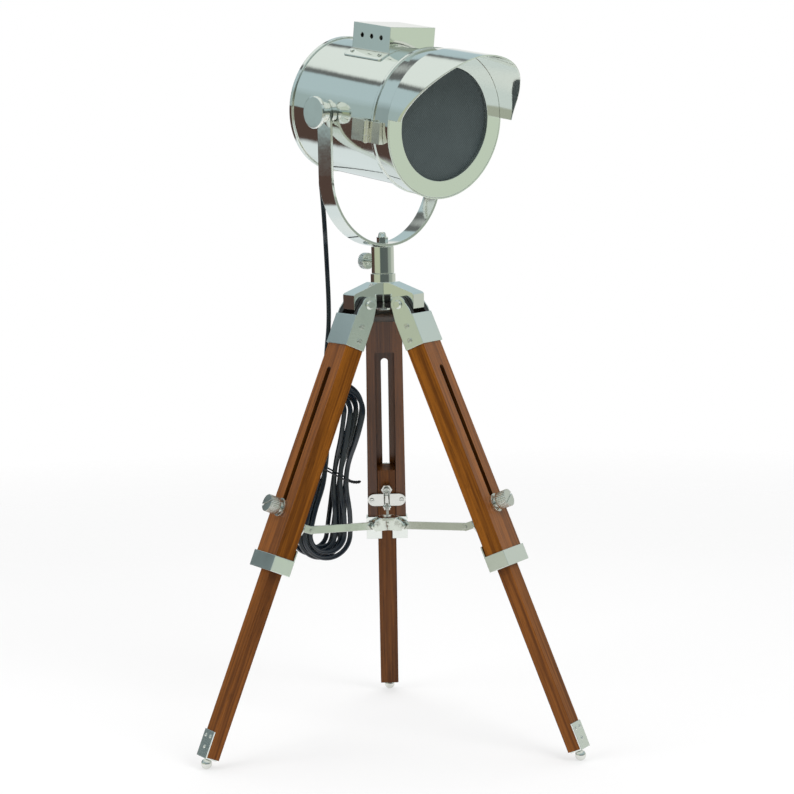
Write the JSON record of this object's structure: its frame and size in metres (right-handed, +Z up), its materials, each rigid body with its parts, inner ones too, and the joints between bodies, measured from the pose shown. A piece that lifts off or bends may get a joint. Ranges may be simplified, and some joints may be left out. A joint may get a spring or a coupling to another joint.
{
  "type": "tripod spotlight",
  "caption": "Studio-style spotlight: nickel drum head with a visor and hinged lens door, tilting in a yoke on a folding wooden tripod with sliding clamped legs and a tied lead.",
  "frame": {"origin": "on the floor under the tripod's vertical axis", "axes": "+Z up along the tripod's axis, +Y towards the back leg, the lamp faces towards +X and -Y"},
  "size_m": [0.2982, 0.2811, 0.5588],
  "materials": {
    "polished_nickel": "polished",
    "satin_nickel": "satin",
    "polished_steel": "polished",
    "varnished_wood": "gloss varnish",
    "dark_lens": "finely textured",
    "bulb_glass": "frosted",
    "holder_black": "moulded",
    "flex_black": "smooth",
    "plug_black": "moulded",
    "tie_black": "coated wire"
  },
  "bodies": {
    "stand": {"crown": "polished_nickel", "leg_hinge_bolts": "polished_nickel", "cord_hank": "flex_black", "cord_tie": "tie_black", "mains_plug": "plug_black", "cord_drop": "flex_black"},
    "leg_back": {"upper_leg_back": "varnished_wood", "top_bracket_back": "satin_nickel", "leg_screws_back": "polished_steel", "ferrule_back": "satin_nickel", "spreader_bracket_back": "satin_nickel"},
    "lower_back": {"lower_leg_back": "varnished_wood", "clamp_nut_back": "polished_steel", "foot_plate_back": "satin_nickel", "ball_foot_back": "polished_steel"},
    "clamp_back": {"clamp_screw_back": "polished_steel"},
    "arm_back": {"spreader_arm_back": "polished_steel"},
    "leg_left": {"upper_leg_left": "varnished_wood", "top_bracket_left": "satin_nickel", "leg_screws_left": "polished_steel", "ferrule_left": "satin_nickel", "spreader_bracket_left": "satin_nickel"},
    "lower_left": {"lower_leg_left": "varnished_wood", "clamp_nut_left": "polished_steel", "foot_plate_left": "satin_nickel", "ball_foot_left": "polished_steel"},
    "clamp_left": {"clamp_screw_left": "polished_steel"},
    "arm_left": {"spreader_arm_left": "polished_steel"},
    "leg_right": {"upper_leg_right": "varnished_wood", "top_bracket_right": "satin_nickel", "leg_screws_right": "polished_steel", "ferrule_right": "satin_nickel", "spreader_bracket_right": "satin_nickel"},
    "lower_right": {"lower_leg_right": "varnished_wood", "clamp_nut_right": "polished_steel", "foot_plate_right": "satin_nickel", "ball_foot_right": "polished_steel"},
    "clamp_right": {"clamp_screw_right": "polished_steel"},
    "arm_right": {"spreader_arm_right": "polished_steel"},
    "hub": {"spreader_hub": "polished_nickel"},
    "yoke": {"turning_post": "polished_nickel", "yoke": "polished_nickel", "yoke_nut": "polished_nickel"},
    "pan_screw": {"pan_lock_screw": "polished_nickel"},
    "head": {"drum": "polished_nickel", "rear_cap": "polished_nickel", "vent_hood": "polished_nickel", "vent_rivets": "polished_nickel", "hinge_leaf_drum": "polished_nickel", "hinge_pin": "polished_nickel", "lamp_holder": "holder_black", "bulb": "bulb_glass", "cord_gland": "flex_black"},
    "door": {"front_barrel": "polished_nickel", "bezel": "polished_nickel", "lens": "dark_lens", "hinge_leaf_door": "polished_nickel"},
    "catch": {"door_catch": "polished_nickel"},
    "knob_near": {"tilt_knob_near": "polished_nickel"},
    "knob_far": {"tilt_knob_far": "polished_nickel"}
  },
  "joints": [
    {"name": "fold_back", "type": "hinge", "parent": "stand", "child": "leg_back", "pos_m": [0, 0.021, 0.344], "axis": [-1, 0, 0], "range_deg": [0, 17]},
    {"name": "slide_back", "type": "slide", "parent": "leg_back", "child": "lower_back", "axis": [0, -0.3912, 0.9203], "range_m": [0, 0.105]},
    {"name": "clamp_turn_back", "type": "hinge", "parent": "lower_back", "child": "clamp_back", "pos_m": [0, 0.08661, 0.18967], "axis": [0, 0.9203, 0.3912], "range_deg": [0, 180]},
    {"name": "arm_back", "type": "hinge", "parent": "leg_back", "child": "arm_back", "pos_m": [0, 0.0694, 0.1728], "axis": [-1, 0, 0], "range_deg": [-101.5, 0]},
    {"name": "fold_left", "type": "hinge", "parent": "stand", "child": "leg_left", "pos_m": [-0.01819, -0.0105, 0.344], "axis": [0.5, -0.866, 0], "range_deg": [0, 17]},
    {"name": "slide_left", "type": "slide", "parent": "leg_left", "child": "lower_left", "axis": [0.3388, 0.1956, 0.9203], "range_m": [0, 0.105]},
    {"name": "clamp_turn_left", "type": "hinge", "parent": "lower_left", "child": "clamp_left", "pos_m": [-0.075, -0.0433, 0.18967], "axis": [-0.797, -0.4602, 0.3912], "range_deg": [0, 180]},
    {"name": "arm_left", "type": "hinge", "parent": "leg_left", "child": "arm_left", "pos_m": [-0.0601, -0.0347, 0.1728], "axis": [0.5, -0.866, 0], "range_deg": [-101.5, 0]},
    {"name": "fold_right", "type": "hinge", "parent": "stand", "child": "leg_right", "pos_m": [0.01819, -0.0105, 0.344], "axis": [0.5, 0.866, 0], "range_deg": [0, 17]},
    {"name": "slide_right", "type": "slide", "parent": "leg_right", "child": "lower_right", "axis": [-0.3388, 0.1956, 0.9203], "range_m": [0, 0.105]},
    {"name": "clamp_turn_right", "type": "hinge", "parent": "lower_right", "child": "clamp_right", "pos_m": [0.075, -0.0433, 0.18967], "axis": [0.797, -0.4602, 0.3912], "range_deg": [0, 180]},
    {"name": "arm_right", "type": "hinge", "parent": "leg_right", "child": "arm_right", "pos_m": [0.0601, -0.0347, 0.1728], "axis": [0.5, 0.866, 0], "range_deg": [-101.5, 0]},
    {"name": "hub_slide", "type": "slide", "parent": "stand", "child": "hub", "axis": [0, 0, 1], "range_m": [-0.06, 0]},
    {"name": "yoke_pan", "type": "hinge", "parent": "stand", "child": "yoke", "pos_m": [0, 0, 0.375], "axis": [0, 0, 1], "range_deg": [-90, 90], "deforming": ["cord_drop"]},
    {"name": "pan_lock_turn", "type": "hinge", "parent": "yoke", "child": "pan_screw", "pos_m": [0, 0, 0.3755], "axis": [-0.642, 0.7667, 0], "range_deg": [0, 180]},
    {"name": "head_tilt", "type": "hinge", "parent": "yoke", "child": "head", "pos_m": [0, 0, 0.4909], "axis": [0.7667, 0.642, 0], "range_deg": [-75, 35], "deforming": ["cord_drop"]},
    {"name": "knob_near_turn", "type": "hinge", "parent": "head", "child": "knob_near", "pos_m": [-0.046, -0.03852, 0.4909], "axis": [-0.7667, -0.642, 0], "range_deg": [0, 180]},
    {"name": "knob_far_turn", "type": "hinge", "parent": "head", "child": "knob_far", "pos_m": [0.046, 0.03852, 0.4909], "axis": [0.7667, 0.642, 0], "range_deg": [0, 180]},
    {"name": "door_swing", "type": "hinge", "parent": "head", "child": "door", "pos_m": [-0.0109, -0.07857, 0.47615], "axis": [-0.0917, 0.1095, -0.9898], "range_deg": [0, 95]},
    {"name": "catch_lift", "type": "hinge", "parent": "head", "child": "catch", "pos_m": [0.07139, 0.00556, 0.4849], "axis": [-0.7667, -0.642, 0], "range_deg": [0, 60]}
  ],
  "couplings": [
    {"joint": "arm_back", "follows": "fold_back", "ratio": -5.951},
    {"joint": "arm_left", "follows": "fold_back", "ratio": -5.951},
    {"joint": "fold_left", "follows": "fold_back", "ratio": 1},
    {"joint": "arm_right", "follows": "fold_back", "ratio": -5.951},
    {"joint": "fold_right", "follows": "fold_back", "ratio": 1},
    {"joint": "hub_slide", "follows": "fold_back", "m_per_rad": -0.20097}
  ]
}
